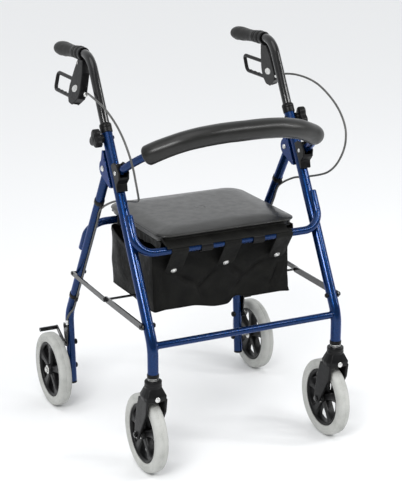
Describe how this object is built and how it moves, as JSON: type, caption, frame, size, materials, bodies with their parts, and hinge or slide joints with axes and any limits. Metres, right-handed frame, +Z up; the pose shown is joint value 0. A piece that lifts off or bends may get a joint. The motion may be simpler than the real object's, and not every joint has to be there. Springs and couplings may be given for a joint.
{
  "type": "rollator walker",
  "caption": "Folding wheeled walker with swivel front casters, braked rear wheels, loop levers, height-adjustable hand grips, padded seat, bow backrest and under-seat bag",
  "frame": {"origin": "on the floor under the middle of the walker, at the bottom centre of its box", "axes": "+Z up, -Y towards the front with the swivel casters, +Y towards the user behind it, +X to the user's left"},
  "size_m": [0.6276, 0.659, 0.9465],
  "materials": {
    "blue_paint": "metallic blue paint on steel tube",
    "black_paint": "black powder coat",
    "zinc_steel": "zinc-plated fastener",
    "black_plastic": "black moulded plastic",
    "grip_rubber": "matt black moulded rubber",
    "grey_tyre": "light grey solid tyre, satin",
    "seat_vinyl": "dark grey leather-grain vinyl over foam",
    "backrest_foam": "dark grey skinned foam",
    "bag_nylon": "black woven nylon",
    "cable_sleeve": "dark grey cable sleeve"
  },
  "bodies": {
    "front": {"front_leg_left": "blue_paint", "front_leg_right": "blue_paint", "front_cross_tube": "blue_paint", "front_seat_tube": "blue_paint", "hinge_bracket_left": "blue_paint", "hinge_bracket_right": "blue_paint", "hinge_pin_left": "zinc_steel", "hinge_pin_right": "zinc_steel", "height_collar_left": "black_plastic", "height_collar_right": "black_plastic", "backrest_bracket_left": "black_plastic", "backrest_bracket_right": "black_plastic", "brake_cable_left": "cable_sleeve", "brake_cable_right": "cable_sleeve", "bag": "bag_nylon"},
    "rear": {"rear_leg_left": "blue_paint", "rear_leg_right": "blue_paint", "rear_seat_tube": "blue_paint", "brake_bracket_left": "black_paint", "brake_bracket_right": "black_paint", "rear_axle_left": "zinc_steel", "rear_axle_right": "zinc_steel"},
    "brace_front": {"brace_front_link_left": "black_paint", "brace_front_link_right": "black_paint", "brace_cross_rod": "black_paint"},
    "brace_rear_left": {"brace_rear_link_left": "black_paint"},
    "brace_rear_right": {"brace_rear_link_right": "black_paint"},
    "backrest": {"backrest_tube": "blue_paint", "backrest_pad": "backrest_foam"},
    "seat": {"seat_base": "black_plastic", "seat_pad": "seat_vinyl", "seat_clip_left": "black_plastic", "seat_clip_right": "black_plastic"},
    "handle_left": {"handle_tube_left": "black_paint", "hand_grip_left": "grip_rubber", "brake_housing_left": "black_plastic"},
    "lever_left": {"brake_lever_left": "black_plastic"},
    "knob_left": {"height_knob_left": "black_plastic"},
    "brake_left": {"brake_arm_left": "black_paint"},
    "caster_left": {"caster_fork_left": "black_plastic", "caster_stem_left": "zinc_steel", "front_axle_left": "zinc_steel"},
    "front_wheel_left": {"front_tyre_left": "grey_tyre", "front_hub_left": "black_plastic"},
    "rear_wheel_left": {"rear_tyre_left": "grey_tyre", "rear_hub_left": "black_plastic"},
    "handle_right": {"handle_tube_right": "black_paint", "hand_grip_right": "grip_rubber", "brake_housing_right": "black_plastic"},
    "lever_right": {"brake_lever_right": "black_plastic"},
    "knob_right": {"height_knob_right": "black_plastic"},
    "brake_right": {"brake_arm_right": "black_paint"},
    "caster_right": {"caster_fork_right": "black_plastic", "caster_stem_right": "zinc_steel", "front_axle_right": "zinc_steel"},
    "front_wheel_right": {"front_tyre_right": "grey_tyre", "front_hub_right": "black_plastic"},
    "rear_wheel_right": {"rear_tyre_right": "grey_tyre", "rear_hub_right": "black_plastic"}
  },
  "joints": [
    {"name": "fold", "type": "hinge", "parent": "front", "child": "rear", "pos_m": [0, -0.035, 0.685], "axis": [-1, 0, 0], "range_deg": [0, 24], "deforming": ["brake_cable_left", "brake_cable_right", "bag"]},
    {"name": "brace_front_turn", "type": "hinge", "parent": "front", "child": "brace_front", "pos_m": [0, -0.25098, 0.365], "axis": [1, 0, 0], "range_deg": [0, 38.9], "deforming": ["bag"]},
    {"name": "brace_rear_left_turn", "type": "hinge", "parent": "brace_front", "child": "brace_rear_left", "pos_m": [0.2606, -0.0465, 0.367], "axis": [-1, 0, 0], "range_deg": [0, 98.6]},
    {"name": "brace_rear_right_turn", "type": "hinge", "parent": "brace_front", "child": "brace_rear_right", "pos_m": [-0.2606, -0.0465, 0.367], "axis": [-1, 0, 0], "range_deg": [0, 98.6]},
    {"name": "backrest_tilt", "type": "hinge", "parent": "front", "child": "backrest", "pos_m": [0, -0.105, 0.69], "axis": [-1, 0, 0], "range_deg": [0, 60]},
    {"name": "seat_lift", "type": "hinge", "parent": "front", "child": "seat", "pos_m": [0, -0.19337, 0.5172], "axis": [1, 0, 0], "range_deg": [0, 75]},
    {"name": "handle_left_height", "type": "slide", "parent": "front", "child": "handle_left", "axis": [0, 0.4799, 0.8773], "range_m": [-0.1, 0.025], "deforming": ["brake_cable_left"]},
    {"name": "knob_left_turn", "type": "hinge", "parent": "front", "child": "knob_left", "pos_m": [0.272, -0.03656, 0.757], "axis": [1, 0, 0], "continuous": true},
    {"name": "lever_left_squeeze", "type": "hinge", "parent": "handle_left", "child": "lever_left", "pos_m": [0.26057, 0.104, 0.84395], "axis": [0.9781, 0, 0.2079], "range_deg": [0, 15], "stiffness_Nm_per_rad": 0.6},
    {"name": "brake_left_press", "type": "hinge", "parent": "rear", "child": "brake_left", "pos_m": [0.2585, 0.233, 0.16], "axis": [1, 0, 0], "range_deg": [-4.6, 0]},
    {"name": "caster_left_swivel", "type": "hinge", "parent": "front", "child": "caster_left", "pos_m": [0.242, -0.2745, 0.241], "axis": [0, 0, 1], "continuous": true},
    {"name": "front_wheel_left_spin", "type": "hinge", "parent": "caster_left", "child": "front_wheel_left", "pos_m": [0.242, -0.2345, 0.095], "axis": [1, 0, 0], "continuous": true},
    {"name": "rear_wheel_left_spin", "type": "hinge", "parent": "rear", "child": "rear_wheel_left", "pos_m": [0.291, 0.2345, 0.095], "axis": [1, 0, 0], "continuous": true},
    {"name": "handle_right_height", "type": "slide", "parent": "front", "child": "handle_right", "axis": [0, 0.4799, 0.8773], "range_m": [-0.1, 0.025], "deforming": ["brake_cable_right"]},
    {"name": "knob_right_turn", "type": "hinge", "parent": "front", "child": "knob_right", "pos_m": [-0.272, -0.03656, 0.757], "axis": [-1, 0, 0], "continuous": true},
    {"name": "lever_right_squeeze", "type": "hinge", "parent": "handle_right", "child": "lever_right", "pos_m": [-0.26057, 0.104, 0.84395], "axis": [0.9781, 0, -0.2079], "range_deg": [0, 15], "stiffness_Nm_per_rad": 0.6},
    {"name": "brake_right_press", "type": "hinge", "parent": "rear", "child": "brake_right", "pos_m": [-0.2585, 0.233, 0.16], "axis": [1, 0, 0], "range_deg": [-4.6, 0]},
    {"name": "caster_right_swivel", "type": "hinge", "parent": "front", "child": "caster_right", "pos_m": [-0.242, -0.2745, 0.241], "axis": [0, 0, 1], "continuous": true},
    {"name": "front_wheel_right_spin", "type": "hinge", "parent": "caster_right", "child": "front_wheel_right", "pos_m": [-0.242, -0.2345, 0.095], "axis": [1, 0, 0], "continuous": true},
    {"name": "rear_wheel_right_spin", "type": "hinge", "parent": "rear", "child": "rear_wheel_right", "pos_m": [-0.291, 0.2345, 0.095], "axis": [1, 0, 0], "continuous": true}
  ],
  "couplings": [
    {"joint": "brace_front_turn", "follows": "fold", "ratio": 1.6167},
    {"joint": "brace_rear_left_turn", "follows": "fold", "ratio": 4.1},
    {"joint": "brake_left_press", "follows": "lever_left_squeeze", "ratio": -0.3},
    {"joint": "brace_rear_right_turn", "follows": "fold", "ratio": 4.1},
    {"joint": "brake_right_press", "follows": "lever_right_squeeze", "ratio": -0.3}
  ]
}
